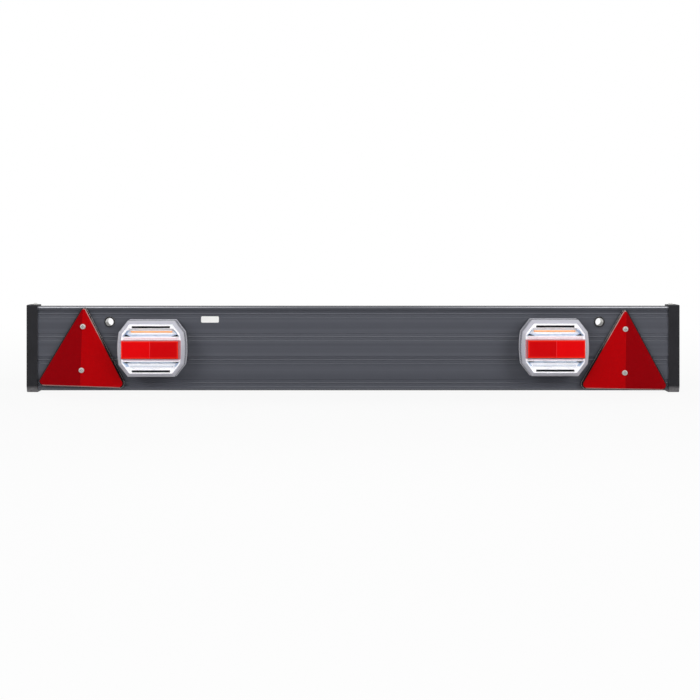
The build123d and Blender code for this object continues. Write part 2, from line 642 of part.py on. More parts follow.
def board_pieces():
    """Every piece of the board by its name; a list is a group of like solids."""
    pieces = {
        "board_profile": board_profile(),
        "end_cap_screws": end_cap_screws(),
        "blank_label": blank_label(),
        "cable_grommet": cable_grommet(),
    }
    for side, sign in SIDES.items():
        pieces[f"end_cap_{side}"] = end_cap(sign)
        pieces[f"mount_bush_{side}"] = mount_bush(side)
        pieces[f"reflector_{side}_back"] = reflector_back(side)
        pieces[f"reflector_{side}_lens"] = reflector_lens(side)
        pieces[f"reflector_{side}_screws"] = reflector_screws(side)
        place = on_front(sign * LAMP_X, LAMP_LIFT[side])
        for name, piece in lamp_pieces(sign).items():
            group = piece if isinstance(piece, list) else [piece]
            pieces[f"lamp_{side}_{name}"] = [place * solid for solid in group]
    return pieces


def main():
    """Writes one file for each piece."""
    os.makedirs("parts", exist_ok=True)
    for name, piece in board_pieces().items():
        group = piece if isinstance(piece, list) else [piece]
        solids = [solid for item in group for solid in item.solids()]
        shape = solids[0] if len(solids) == 1 else Compound(children=solids)
        export_step(shape, f"parts/{name}.step")


main()
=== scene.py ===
import logging
import math
from abc import ABC, abstractmethod
from dataclasses import dataclass
from enum import Enum
from typing import Any

import bmesh
import bpy
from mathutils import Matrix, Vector
from mathutils.geometry import convex_hull_2d


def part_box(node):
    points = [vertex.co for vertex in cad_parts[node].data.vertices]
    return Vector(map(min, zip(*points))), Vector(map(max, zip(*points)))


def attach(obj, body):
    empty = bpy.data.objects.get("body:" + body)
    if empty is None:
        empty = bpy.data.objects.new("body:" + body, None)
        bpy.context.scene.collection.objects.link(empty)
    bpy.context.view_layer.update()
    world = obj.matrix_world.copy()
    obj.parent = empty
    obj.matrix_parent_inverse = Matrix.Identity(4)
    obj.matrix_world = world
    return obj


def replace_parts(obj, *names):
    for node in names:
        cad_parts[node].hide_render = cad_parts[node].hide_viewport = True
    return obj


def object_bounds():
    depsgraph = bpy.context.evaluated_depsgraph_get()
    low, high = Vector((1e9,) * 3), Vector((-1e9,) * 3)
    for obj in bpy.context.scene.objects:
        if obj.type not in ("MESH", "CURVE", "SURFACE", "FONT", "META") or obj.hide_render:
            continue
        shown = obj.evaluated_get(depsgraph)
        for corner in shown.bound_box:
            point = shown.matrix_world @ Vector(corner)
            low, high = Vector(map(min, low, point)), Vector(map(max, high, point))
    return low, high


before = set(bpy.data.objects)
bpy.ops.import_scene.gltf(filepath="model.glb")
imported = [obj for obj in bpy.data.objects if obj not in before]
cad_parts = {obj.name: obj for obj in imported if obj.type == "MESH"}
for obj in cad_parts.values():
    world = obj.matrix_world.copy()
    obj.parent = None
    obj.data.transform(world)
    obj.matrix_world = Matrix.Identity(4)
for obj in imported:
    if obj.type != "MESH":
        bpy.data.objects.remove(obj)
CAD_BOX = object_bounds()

Tree = bpy.types.NodeTree
Node = bpy.types.Node
Socket = bpy.types.NodeSocket
Pair = tuple[float, float]
Triple = tuple[float, float, float]

BODY = "root"
# Lengths are in metres, as the frame is, and in millimetres where a name ends in _mm.
MM = 0.001
FRONT: Triple = (0.0, -1.0, 0.0)
WHITE = "#FFFFFF"
# A noise seldom leaves this range, so a pattern's full spread is taken from it.
NOISE_RANGE: Pair = (0.3, 0.7)
# Faces that meet at a larger angle keep a crisp edge.
SHARP_DEG = 40.0
LOG = logging.getLogger("lighting_board")


class Side(Enum):
    """An end of the board, as the viewer sees it."""

    LEFT = -1
    RIGHT = 1

    @property
    def word(self) -> str:
        """The end's name in the names of the CAD nodes."""
        return self.name.lower()


def linear(colour: str) -> tuple[float, float, float, float]:
    """Turns an sRGB hex colour into linear light.

    Args:
        colour: Hex colour with a leading hash.

    Returns:
        Red, green and blue in linear light, and an alpha of one.
    """
    shares = [int(colour[i:i + 2], 16) / 255 for i in (1, 3, 5)]
    red, green, blue = (s / 12.92 if s <= 0.04045 else ((s + 0.055) / 1.055) ** 2.4 for s in shares)
    return red, green, blue, 1.0


def per_metre(size_mm: float) -> float:
    """Texture scale at which one feature of a pattern is as wide as the given size."""
    return 1.0 / (size_mm * MM)


def add_node(tree: Tree, kind: str, settings: dict[int | str, Any] | None = None,
             links: dict[int | str, Socket] | None = None) -> Node:
    """Adds a node with its settings and links.

    Args:
        tree: Node tree that takes the node.
        kind: Blender's type name of the node, without its leading ShaderNode.
        settings: Values by property name, or by the name or number of a socket.
        links: Output sockets by the name or number of the socket they feed.

    Returns:
        The new node.
    """
    node = tree.nodes.new(f"ShaderNode{kind}")
    settings = settings or {}
    own = [key for key in settings if isinstance(key, str) and hasattr(node, key)]
    for key in own:
        setattr(node, key, settings[key])
    for key, value in settings.items():
        if key not in own:
            node.inputs[key].default_value = value
    for key, socket in (links or {}).items():
        tree.links.new(socket, node.inputs[key])
    return node


def empty_tree(owner: bpy.types.Material | bpy.types.World) -> Tree:
    """Gives a material or a world a node tree with nothing in it.

    Args:
        owner: Material or world that takes the tree.

    Returns:
        The empty tree.
    """
    owner.use_nodes = True
    owner.node_tree.nodes.clear()
    return owner.node_tree


@dataclass(frozen=True)
class Ground:
    """What a finish is laid on: a material's tree, its Principled node and the place on the piece."""

    tree: Tree
    surface: Node
    place: Socket

    def paint(self, colour: str, share: Socket) -> None:
        """Lays one more colour over what the surface already shows.

        Args:
            colour: Hex colour to lay on.
            share: Its share at each place, from 0 to 1.
        """
        base = self.surface.inputs["Base Color"]
        coat = add_node(self.tree, "Mix", {
            "data_type": "RGBA", 6: tuple(base.default_value), 7: linear(colour)}, {0: share})
        if base.is_linked:
            self.tree.links.new(base.links[0].from_socket, coat.inputs[6])
        self.tree.links.new(coat.outputs[2], base)

    def facing(self, direction: Triple) -> Socket:
        """Adds how squarely the surface faces a direction: one where it does, nothing where edge on."""
        shape = add_node(self.tree, "NewGeometry")
        return add_node(self.tree, "VectorMath", {"operation": "DOT_PRODUCT", 1: direction},
                        {0: shape.outputs["Normal"]}).outputs["Value"]

    def edges(self, radius_mm: float, bend: Pair) -> Socket:
        """Adds a share that rises to one along the piece's edges.

        Args:
            radius_mm: How far from an edge it starts.
            bend: How far the rounded normal agrees with the true one, at the start and at the full share.

        Returns:
            The share, from 0 to 1.
        """
        soft = add_node(self.tree, "Bevel", {"samples": 4, "Radius": radius_mm * MM})
        shape = add_node(self.tree, "NewGeometry")
        agree = add_node(self.tree, "VectorMath", {"operation": "DOT_PRODUCT"},
                         {0: soft.outputs[0], 1: shape.outputs["Normal"]})
        edge = add_node(self.tree, "MapRange", {"From Min": bend[0], "From Max": bend[1]},
                        {"Value": agree.outputs["Value"]})
        return edge.outputs[0]

    def past(self, centre: Pair, half: Pair) -> Socket:
        """Adds how far each place lies past the sides of an upright rectangle.

        Args:
            centre: Middle of the rectangle along X and Z, in metres.
            half: Half its width and half its height, in metres.

        Returns:
            The way past its sides along X and Z, below nought inside it, and always below nought along Y.
        """
        metre = 1.0
        place = self.place
        for step in ({"operation": "SUBTRACT", 1: (centre[0], 0.0, centre[1])}, {"operation": "ABSOLUTE"},
                     {"operation": "SUBTRACT", 1: (half[0], metre, half[1])}):
            place = add_node(self.tree, "VectorMath", step, {0: place}).outputs["Vector"]
        return place


@dataclass(frozen=True)
class Finish(ABC):
    """A substance with the surface that its making left on it."""

    name: str
    colour: str
    roughness: float
    metallic: float = 0.0
    ior: float | None = None

    def material(self) -> bpy.types.Material:
        """Finds this finish's material, or makes it on first use."""
        return bpy.data.materials.get(self.name) or self.make()

    def make(self) -> bpy.types.Material:
        """Makes the material: a Principled surface, then the pattern of the finish.

        Returns:
            The new material.
        """
        material = bpy.data.materials.new(self.name)
        tree = empty_tree(material)
        surface = add_node(tree, "BsdfPrincipled", {
            "Base Color": linear(self.colour), "Roughness": self.roughness, "Metallic": self.metallic})
        if self.ior is not None:
            surface.inputs["IOR"].default_value = self.ior
        ground = Ground(tree, surface, add_node(tree, "TexCoord").outputs["Object"])
        self.pattern(ground)
        add_node(tree, "OutputMaterial", links={"Surface": self.shader(ground)})
        return material

    @abstractmethod
    def pattern(self, ground: Ground) -> None:
        """Adds what the surface shows.

        Args:
            ground: What the pattern is laid on.
        """

    def shader(self, ground: Ground) -> Socket:
        """The shader that goes to the material's output."""
        return ground.surface.outputs["BSDF"]

    def roughen(self, ground: Ground, grain: Socket, spread: float, depth_mm: float) -> None:
        """Lets a grain vary the gloss and stand as a fine relief.

        Args:
            ground: What the grain is laid on.
            grain: Height of the grain, from 0 to 1.
            spread: How far the roughness strays to each side.
            depth_mm: Depth of the relief.
        """
        gloss = add_node(ground.tree, "MapRange", {
            "From Min": NOISE_RANGE[0], "From Max": NOISE_RANGE[1],
            "To Min": self.roughness - spread, "To Max": self.roughness + spread}, {"Value": grain})
        relief = add_node(ground.tree, "Bump", {"Distance": depth_mm * MM}, {"Height": grain})
        ground.tree.links.new(gloss.outputs[0], ground.surface.inputs["Roughness"])
        ground.tree.links.new(relief.outputs[0], ground.surface.inputs["Normal"])


@dataclass(frozen=True, kw_only=True)
class ExtrudedAluminium(Finish):
    """Aluminium drawn through a die, etched and anodised: long faint lines along the board."""

    rub_z: float
    deep_z: float
    light: str = "#5A5C64"
    # A highlight painted along the front's top edge, strongest near the ends.
    rub: str = "#D4D4DC"
    rub_mm: float = 0.9
    rub_reach: Pair = (0.1, 0.45)
    rub_share: Pair = (0.04, 0.9)
    # A band of painted shade below the top edge, at that height on every face.
    deep: str = "#46484F"
    deep_mm: float = 4.2
    line_mm: float = 3.2
    band_mm: float = 12.0
    line_share: float = 0.1
    line_reach: float = 500.0
    line_depth_mm: float = 0.001
    roughness_spread: float = 0.012

    def pattern(self, ground: Ground) -> None:
        """Adds die lines and broad tone bands along X, a highlight painted along the top edge and a band of
        painted shade below it.

        Args:
            ground: What the pattern is laid on.
        """
        tree = ground.tree
        drawn = add_node(tree, "Mapping", {"Scale": (1.0 / self.line_reach, 1.0, 1.0)},
                         {"Vector": ground.place})
        lines, bands = (
            add_node(tree, "TexNoise", {"Scale": per_metre(size_mm), "Detail": detail},
                     {"Vector": drawn.outputs["Vector"]}).outputs["Fac"]
            for size_mm, detail in ((self.line_mm, 2.0), (self.band_mm, 1.0)))
        tone = add_node(tree, "Mix", {"data_type": "FLOAT", 0: self.line_share}, {2: bands, 3: lines})
        level = add_node(tree, "MapRange", {"From Min": NOISE_RANGE[0], "From Max": NOISE_RANGE[1]},
                         {"Value": tone.outputs[0]})
        ground.paint(self.light, level.outputs[0])
        axes = add_node(tree, "SeparateXYZ", links={0: ground.place})
        edge, under = (
            add_node(tree, "Math", {"operation": "COMPARE", 1: height, 2: reach_mm * MM},
                     {0: axes.outputs["Z"]}).outputs[0]
            for height, reach_mm in ((self.rub_z, self.rub_mm), (self.deep_z, self.deep_mm)))
        # A highlight painted along the top edge, strongest near the ends.
        ground.paint(self.rub, self.rubbed(tree, edge, axes.outputs["X"]))
        # Painted shade in the band below the top edge.
        ground.paint(self.deep, under)
        self.roughen(ground, lines, self.roughness_spread, self.line_depth_mm)

    def rubbed(self, tree: Tree, edge: Socket, along: Socket) -> Socket:
        """Adds the share of the highlight painted along the front's long edge, strongest near the ends.

        Args:
            tree: Node tree of the material.
            edge: One on the edge, nothing elsewhere.
            along: Place along the board, from its middle.

        Returns:
            The share, from 0 to 1.
        """
        away = add_node(tree, "Math", {"operation": "ABSOLUTE"}, {0: along})
        toward_ends = add_node(tree, "MapRange", {
            "From Min": self.rub_reach[0], "From Max": self.rub_reach[1],
            "To Min": self.rub_share[0], "To Max": self.rub_share[1]}, {"Value": away.outputs[0]})
        share = add_node(tree, "Math", {"operation": "MULTIPLY"}, {0: edge, 1: toward_ends.outputs[0]})
        return share.outputs[0]


@dataclass(frozen=True, kw_only=True)
class Moulded(Finish):
    """Plastic, rubber, resin or foam as the mould left it: a fine grain, slow flow marks, and edges painted
    paler both as wear and as a painted highlight.
    """

    light: str
    rub: str = "#4A4A4D"
    rub_mm: float = 0.0
    rub_bend: Pair = (0.99, 0.8)
    # A mould's grain is some 0.2 mm wide and drawn wider, so that it shows.
    grain_mm: float = 1.2
    flow_mm: float = 40.0
    grain_depth_mm: float = 0.02
    roughness_spread: float = 0.08

    def pattern(self, ground: Ground) -> None:
        """Adds the mould's grain, the flow marks and, where it has them, the edges painted paler as wear and
        as a painted highlight.

        Args:
            ground: What the pattern is laid on.
        """
        grain, flow = (
            add_node(ground.tree, "TexNoise", {"Scale": per_metre(size_mm), "Detail": detail},
                     {"Vector": ground.place}).outputs["Fac"]
            for size_mm, detail in ((self.grain_mm, 3.0), (self.flow_mm, 2.0)))
        ground.paint(self.light, flow)
        # Edges painted paler, both as wear and as a painted highlight.
        if self.rub_mm:
            pale_share = add_node(ground.tree, "Math", {"operation": "MULTIPLY"},
                            {0: ground.edges(self.rub_mm, self.rub_bend), 1: grain})
            ground.paint(self.rub, pale_share.outputs[0])
        self.roughen(ground, grain, self.roughness_spread, self.grain_depth_mm)


@dataclass(frozen=True, kw_only=True)
class ScuffedFoot(Moulded):
    """Moulded cap whose foot is painted pale in noisy patches, as painted light from the floor."""

    scuff: str = "#8C8A8C"
    scuff_mm: float = 12.0
    full_scuff_mm: float = 6.0
    patch_mm: float = 5.0

    def pattern(self, ground: Ground) -> None:
        """Adds the painted floor light on the foot to the moulding's own pattern.

        Args:
            ground: What the pattern is laid on.
        """
        super().pattern(ground)
        tree = ground.tree
        axes = add_node(tree, "SeparateXYZ", links={0: ground.place})
        foot = add_node(tree, "MapRange", {
            "From Min": self.scuff_mm * MM, "From Max": self.full_scuff_mm * MM},
            {"Value": axes.outputs["Z"]})
        patches = add_node(tree, "TexNoise", {"Scale": per_metre(self.patch_mm), "Detail": 4.0},
                           {"Vector": ground.place})
        pale_share = add_node(tree, "Math", {"operation": "MULTIPLY"},
                        {0: foot.outputs[0], 1: patches.outputs["Fac"]})
        # Painted light from the floor, in pale patches on the foot.
        ground.paint(self.scuff, pale_share.outputs[0])


@dataclass(frozen=True, kw_only=True)
class TippedGuide(Moulded):
    """Strip moulded in colour under a clear upper edge, which shows the white tray behind it."""

    clear_z: float
    clear: str = "#F4F2F2"

    def pattern(self, ground: Ground) -> None:
        """Adds the clear upper edge to the moulding's own pattern.

        Args:
            ground: What the pattern is laid on.
        """
        super().pattern(ground)
        axes = add_node(ground.tree, "SeparateXYZ", links={0: ground.place})
        above = add_node(ground.tree, "Math", {"operation": "GREATER_THAN", 1: self.clear_z},
                         {0: axes.outputs["Z"]})
        ground.paint(self.clear, above.outputs[0])


@dataclass(frozen=True, kw_only=True)
class LaminatedLabel(Moulded):
    """White film with round corners under a clear laminate, whose margin shows the plank."""

    centre: Pair
    half: Pair
    margin: str = "#50525A"
    margin_mm: float = 1.2
    corner_mm: float = 2.2

    def pattern(self, ground: Ground) -> None:
        """Adds the clear margin to the film's own pattern.

        Args:
            ground: What the pattern is laid on.
        """
        super().pattern(ground)
        inset = (self.corner_mm + self.margin_mm) * MM
        past = ground.past(self.centre, (self.half[0] - inset, self.half[1] - inset))
        beyond = add_node(ground.tree, "VectorMath", {"operation": "MAXIMUM", 1: (0.0, 0.0, 0.0)}, {0: past})
        span = add_node(ground.tree, "VectorMath", {"operation": "LENGTH"}, {0: beyond.outputs["Vector"]})
        outside = add_node(ground.tree, "Math", {"operation": "GREATER_THAN", 1: self.corner_mm * MM},
                           {0: span.outputs["Value"]})
        ground.paint(self.margin, outside.outputs[0])


@dataclass(frozen=True, kw_only=True)
class Plated(Finish):
    """Steel with a zinc plate: crystals a little duller than the ground between them, and painted shade in
    its hollows.
    """

    dull: str = "#DEDEDA"
    grime: str = "#2A2A28"
    grime_mm: float = 1.2
    grime_reach: Pair = (0.75, 0.3)
    crystal_mm: float = 0.9
    crystal_depth_mm: float = 0.003
    roughness_spread: float = 0.07

    def pattern(self, ground: Ground) -> None:
        """Adds the plate's crystals and the painted shade in its hollows.

        Args:
            ground: What the pattern is laid on.
        """
        tree = ground.tree
        crystal = add_node(tree, "TexNoise", {"Scale": per_metre(self.crystal_mm), "Detail": 2.0},
                           {"Vector": ground.place}).outputs["Fac"]
        ground.paint(self.dull, crystal)
        # Painted shade where the piece hides its own hollows, such as the drives.
        hollow = add_node(tree, "AmbientOcclusion", {
            "samples": 8, "only_local": True, "Distance": self.grime_mm * MM})
        occluded_share = add_node(tree, "MapRange", {"From Min": self.grime_reach[0], "From Max": self.grime_reach[1]},
                         {"Value": hollow.outputs["AO"]})
        ground.paint(self.grime, occluded_share.outputs[0])
        self.roughen(ground, crystal, self.roughness_spread, self.crystal_depth_mm)


@dataclass(frozen=True, kw_only=True)
class LippedBush(Plated):
    """Plated bush whose front-facing lip is painted dark."""

    lip: str = "#333335"
    lip_facing: float = 0.3

    def pattern(self, ground: Ground) -> None:
        """Adds the dark front-facing lip to the plate's own pattern.

        Args:
            ground: What the pattern is laid on.
        """
        super().pattern(ground)
        # The front-facing lip is painted dark.
        front = add_node(ground.tree, "Math", {"operation": "GREATER_THAN", 1: self.lip_facing},
                         {0: ground.facing(FRONT)})
        ground.paint(self.lip, front.outputs[0])


@dataclass(frozen=True, kw_only=True)
class PrismAcrylic(Finish):
    """Red acrylic, polished in front and moulded in corner prisms behind, so the face is a field of cells.

    The cells of its two fields are tilted to opposite sides, so that one field takes less light; that field
    is painted darker as painted shade.
    """

    centre: Pair
    dark_side: int
    ledge_y: float
    turn_deg: float = 0.0
    # One prism field is painted darker as painted shade.
    deep: str = "#940008"
    wall: str = "#180306"
    wall_roughness: float = 0.7
    # The bevel is painted in shade, and its lit parts in a painted highlight.
    edge: str = "#140204"
    lit_edge: str = "#B88E8A"
    lit_reach: float = 0.2
    lit_rise_mm: float = 30.0
    ledge: str = "#080405"
    # A highlight painted on the ledge's lip on the inner side.
    lip: str = "#E4E0DE"
    bevel_facing: Pair = (0.3, 0.92)
    cell_mm: float = 2.6
    cell_depth_mm: float = 0.03
    cell_share: float = 0.14

    def pattern(self, ground: Ground) -> None:
        """Adds the face with its prism cells, the dark side wall, the bevelled edge with its painted shade
        and highlight, and the ledge with a highlight painted on its lip.

        Args:
            ground: What the pattern is laid on.
        """
        tree = ground.tree
        self.paint_face(ground)
        cells = add_node(tree, "TexVoronoi", {"Scale": per_metre(self.cell_mm)}, {"Vector": ground.place})
        spread = add_node(tree, "Math", {"operation": "MULTIPLY", 1: self.cell_share},
                          {0: cells.outputs["Color"]})
        ground.paint(self.wall, spread.outputs[0])
        facing = ground.facing(FRONT)
        sides = add_node(tree, "Math", {"operation": "LESS_THAN", 1: self.bevel_facing[1]}, {0: facing})
        ground.paint(self.wall, sides.outputs[0])
        self.paint_edges(ground, facing)
        gloss = add_node(tree, "Mix", {"data_type": "FLOAT", 2: self.roughness, 3: self.wall_roughness},
                         {0: sides.outputs[0]})
        relief = add_node(tree, "Bump", {"Distance": self.cell_depth_mm * MM},
                          {"Height": cells.outputs["Distance"]})
        tree.links.new(gloss.outputs[0], ground.surface.inputs["Roughness"])
        tree.links.new(relief.outputs[0], ground.surface.inputs["Normal"])

    def paint_face(self, ground: Ground) -> None:
        """Lays painted shade on one field, which meets the other one on a seam through the face's centre.

        Args:
            ground: What the field is laid on.
        """
        turn = math.radians(self.turn_deg)
        centred = add_node(ground.tree, "VectorMath", {
            "operation": "SUBTRACT", 1: (self.centre[0], 0.0, self.centre[1])}, {0: ground.place})
        across = add_node(ground.tree, "VectorMath", {
            "operation": "DOT_PRODUCT",
            1: (self.dark_side * math.cos(turn), 0.0, -self.dark_side * math.sin(turn))},
            {0: centred.outputs["Vector"]})
        field = add_node(ground.tree, "Math", {"operation": "GREATER_THAN", 1: 0.0},
                         {0: across.outputs["Value"]})
        # Painted shade on one field.
        ground.paint(self.deep, field.outputs[0])

    def paint_edges(self, ground: Ground, facing: Socket) -> None:
        """Lays on the bevel in painted shade with a highlight painted where it faces up or down and up its
        inner side, and the ledge behind it with a highlight painted on its lip.

        Args:
            ground: What the edges are laid on.
            facing: How squarely the surface faces the front.
        """
        tree = ground.tree
        low, high = self.bevel_facing
        axes = add_node(tree, "SeparateXYZ", links={0: ground.place})
        outward = ground.facing((float(self.dark_side), 0.0, 0.0))
        tests = (("COMPARE", (low + high) / 2, (high - low) / 2, facing),
                 ("GREATER_THAN", low, 0.0, facing),
                 ("GREATER_THAN", self.ledge_y, 0.0, axes.outputs["Y"]),
                 ("LESS_THAN", self.lit_reach, 0.0, outward),
                 ("COMPARE", 0.0, self.lit_reach, outward))
        bevel, fronted, behind, inner, level = (
            add_node(tree, "Math", {"operation": test, 1: limit, 2: reach}, {0: value}).outputs[0]
            for test, limit, reach, value in tests)
        rise = add_node(tree, "MapRange", {
            "From Min": self.centre[1], "From Max": self.centre[1] + self.lit_rise_mm * MM},
            {"Value": axes.outputs["Z"]})
        slant = add_node(tree, "Math", {"operation": "MULTIPLY"}, {0: inner, 1: rise.outputs[0]})
        lit = add_node(tree, "Math", {"operation": "MAXIMUM"}, {0: level, 1: slant.outputs[0]})
        lit_bevel, ledge, inner_bevel = (
            add_node(tree, "Math", {"operation": "MULTIPLY"}, {0: one, 1: other}).outputs[0]
            for one, other in ((bevel, lit.outputs[0]), (fronted, behind), (bevel, inner)))
        lip = add_node(tree, "Math", {"operation": "MULTIPLY"}, {0: inner_bevel, 1: behind}).outputs[0]
        # Painted shade on the bevel, a painted highlight on its lit parts, the dark ledge and a painted
        # highlight on its lip.
        for colour, share in ((self.edge, bevel), (self.lit_edge, lit_bevel), (self.ledge, ledge),
                              (self.lip, lip)):
            ground.paint(colour, share)


@dataclass(frozen=True, kw_only=True)
class RimmedPrism(PrismAcrylic):
    """Prism face in two fields within a clear rim, painted bright as a painted glow."""

    half: Pair
    # The rim is painted bright as a painted glow.
    rim: str = "#FF3A26"
    rim_mm: float = 3.0

    def paint_face(self, ground: Ground) -> None:
        """Lays the painted glow of the rim round the two fields.

        Args:
            ground: What the rim is laid on.
        """
        super().paint_face(ground)
        axes = add_node(ground.tree, "SeparateXYZ", links={0: ground.past(self.centre, self.half)})
        nearest = add_node(ground.tree, "Math", {"operation": "MAXIMUM"},
                           {0: axes.outputs["X"], 1: axes.outputs["Z"]})
        glow = add_node(ground.tree, "MapRange", {"From Min": -self.rim_mm * MM, "From Max": 0.0},
                        {"Value": nearest.outputs[0]})
        ground.paint(self.rim, glow.outputs[0])


@dataclass(frozen=True, kw_only=True)
class BrightTray(Finish):
    """White moulded tray: silver lacquer on bevel and sides, and painted bluish shade on the inner trough
    walls.
    """

    middle_x: float
    middle_z: float
    lacquer: str = "#CFCFD8"
    flat_facing: float = 0.9
    # A bluish shade painted on the inner trough walls.
    gloss: str = "#AEBFD6"
    gloss_reach_mm: float = 33.0
    trough_facing: float = 0.371
    trough_spread: float = 0.12
    # The slits are 3.0 mm wide; their walls and rims are painted dark as shade, over a band 3.9 mm wide.
    slit: str = "#050506"
    slit_lifts_mm: Pair = (39.1, -40.7)
    slit_reach_mm: float = 1.95
    slit_half_mm: float = 34.6
    ripple_mm: float = 18.0
    ripple_depth_mm: float = 0.03
    roughness_spread: float = 0.06

    def pattern(self, ground: Ground) -> None:
        """Adds the lacquer, the trough walls with their painted bluish shade, the slits painted dark as
        shade, and a slow ripple.

        Args:
            ground: What the pattern is laid on.
        """
        tree = ground.tree
        axes = add_node(tree, "SeparateXYZ", links={0: ground.place})
        facing = ground.facing(FRONT)
        sloped = add_node(tree, "Math", {"operation": "LESS_THAN", 1: self.flat_facing}, {0: facing})
        steep = add_node(tree, "Math", {
            "operation": "COMPARE", 1: self.trough_facing, 2: self.trough_spread}, {0: facing})
        inner = add_node(tree, "Math", {
            "operation": "COMPARE", 1: self.middle_z, 2: self.gloss_reach_mm * MM}, {0: axes.outputs["Z"]})
        glossy = add_node(tree, "Math", {"operation": "MULTIPLY"}, {0: steep.outputs[0], 1: inner.outputs[0]})
        # Lacquer, trough walls, painted bluish shade near the middle, and the slits painted dark as shade.
        for colour, share in ((self.lacquer, sloped.outputs[0]), (self.colour, steep.outputs[0]),
                              (self.gloss, glossy.outputs[0]), (self.slit, self.slits(tree, axes))):
            ground.paint(colour, share)
        ripple = add_node(tree, "TexNoise", {"Scale": per_metre(self.ripple_mm), "Detail": 1.0},
                          {"Vector": ground.place})
        self.roughen(ground, ripple.outputs["Fac"], self.roughness_spread, self.ripple_depth_mm)

    def slits(self, tree: Tree, axes: Node) -> Socket:
        """Adds a test for the walls and rims of the two slits, which are painted dark as shade.

        Args:
            tree: Node tree of the material.
            axes: Node that gives the place on the piece by its axes.

        Returns:
            One on the slits, nothing elsewhere.
        """
        upper, lower, along = (
            add_node(tree, "Math", {"operation": "COMPARE", 1: middle, 2: reach_mm * MM},
                     {0: axes.outputs[axis]}).outputs[0]
            for axis, middle, reach_mm in (
                ("Z", self.middle_z + self.slit_lifts_mm[0] * MM, self.slit_reach_mm),
                ("Z", self.middle_z + self.slit_lifts_mm[1] * MM, self.slit_reach_mm),
                ("X", self.middle_x, self.slit_half_mm)))
        either = add_node(tree, "Math", {"operation": "MAXIMUM"}, {0: upper, 1: lower})
        within = add_node(tree, "Math", {"operation": "MULTIPLY"}, {0: either.outputs[0], 1: along})
        return within.outputs[0]


@dataclass(frozen=True, kw_only=True)
class ClearCover(Finish):
    """Clear polycarbonate with a slight flow ripple, which lets light through to what is behind it."""

    clarity: float = 1.0
    ripple_mm: float = 14.0
    ripple_depth_mm: float = 0.02

    def pattern(self, ground: Ground) -> None:
        """Makes the surface clear and adds the ripple.

        Args:
            ground: What the pattern is laid on.
        """
        ground.surface.inputs["Transmission Weight"].default_value = self.clarity
        ripple = add_node(ground.tree, "TexNoise", {"Scale": per_metre(self.ripple_mm), "Detail": 1.0},
                          {"Vector": ground.place})
        relief = add_node(ground.tree, "Bump", {"Distance": self.ripple_depth_mm * MM},
                          {"Height": ripple.outputs["Fac"]})
        ground.tree.links.new(relief.outputs[0], ground.surface.inputs["Normal"])

    def shader(self, ground: Ground) -> Socket:
        """Adds a clear sheet for shadows, so that light falls through the cover.

        Args:
            ground: What the pattern was laid on.

        Returns:
            Glass for what is seen, and the clear sheet for shadows.
        """
        rays = add_node(ground.tree, "LightPath")
        clear = add_node(ground.tree, "BsdfTransparent", {"Color": linear(self.colour)})
        mix = add_node(ground.tree, "MixShader", links={
            0: rays.outputs["Is Shadow Ray"], 1: ground.surface.outputs["BSDF"], 2: clear.outputs["BSDF"]})
        return mix.outputs[0]


@dataclass(frozen=True, kw_only=True)
class SatinCover(ClearCover):
    """Polycarbonate left satin by the mould: milky, with a highlight painted along its edges."""

    # A highlight painted along the edges.
    edge: str = "#F2F2F6"
    edge_mm: float = 0.9
    edge_bend: Pair = (0.995, 0.9)

    def pattern(self, ground: Ground) -> None:
        """Adds the highlight painted along the edges to the cover's own pattern."""
        super().pattern(ground)
        ground.paint(self.edge, ground.edges(self.edge_mm, self.edge_bend))


# Polypropylene caps from a spark-eroded mould: black with a dull, slightly mottled light, edges painted paler
# as wear and as a painted highlight, and a foot painted pale in patches as painted light from the floor.
CAP_FINISH = ScuffedFoot("polypropylene_moulded_cap", "#242426", 0.42, ior=1.49, light="#2F2F33",
                         rub_mm=1.2)
# Zinc-plated steel, white passivated: pale and a little milky, because the film scatters part of the light,
# with a faint crystal haze, drawn coarser than life so that it shows, and painted shade in the drives and
# other hollows.
ZINC_FINISH = Plated("zinc_plated_steel", "#FAFAF6", 0.5, metallic=0.45)
# Turned steel bush, plated like the fasteners but smoother: its bore shows a pale, soft sheen in a lip
# painted dark.
BUSH_FINISH = LippedBush("zinc_plated_turned_bush", "#F0F0EE", 0.36, metallic=0.3, dull="#DCDCDA",
                         roughness_spread=0.05)
# Back plate in moulded ABS: plain black edge behind the red lens.
BACK_PLATE_FINISH = Moulded("abs_moulded_back_plate", "#0F0F10", 0.5, ior=1.54, light="#161617")
# Lamp base in moulded ABS: plain black behind the clear cover.
LAMP_BASE_FINISH = Moulded("abs_moulded_lamp_base", "#161618", 0.45, ior=1.54, light="#1F1F22")
# Closed-cell foam: matt, with open pores on its cut edge.
GASKET_FINISH = Moulded("foam_cut_gasket", "#141415", 0.9, ior=1.5, light="#222224", grain_mm=0.8,
                        grain_depth_mm=0.2)
# Soft rubber: matt black that takes a little light at its edges.
RUBBER_FINISH = Moulded("rubber_moulded_grommet", "#131314", 0.65, ior=1.52, light="#1E1E20")
# Glass-fibre laminate under a black solder mask: dark and a little glossy.
LAMINATE_FINISH = Moulded("laminate_solder_mask", "#0C1210", 0.4, ior=1.55, light="#131A17")
# Cast yellow resin over each diode: glossy, and uneven in depth of colour.
DIODE_FINISH = Moulded("resin_cast_diode", "#C9B454", 0.25, ior=1.53, light="#D8C670")
# Clear acrylic strip: pale grey over the white tray.
FOG_FINISH = Moulded("acrylic_clear_guide", "#C2C6CE", 0.18, ior=1.49, light="#D0D4DC",
                     grain_depth_mm=0.005)
# Acrylic tail bar frosted in the mould: soft white.
TAIL_FINISH = Moulded("acrylic_frosted_tail_bar", "#D2C9CC", 0.5, ior=1.49, light="#D9D1D4")
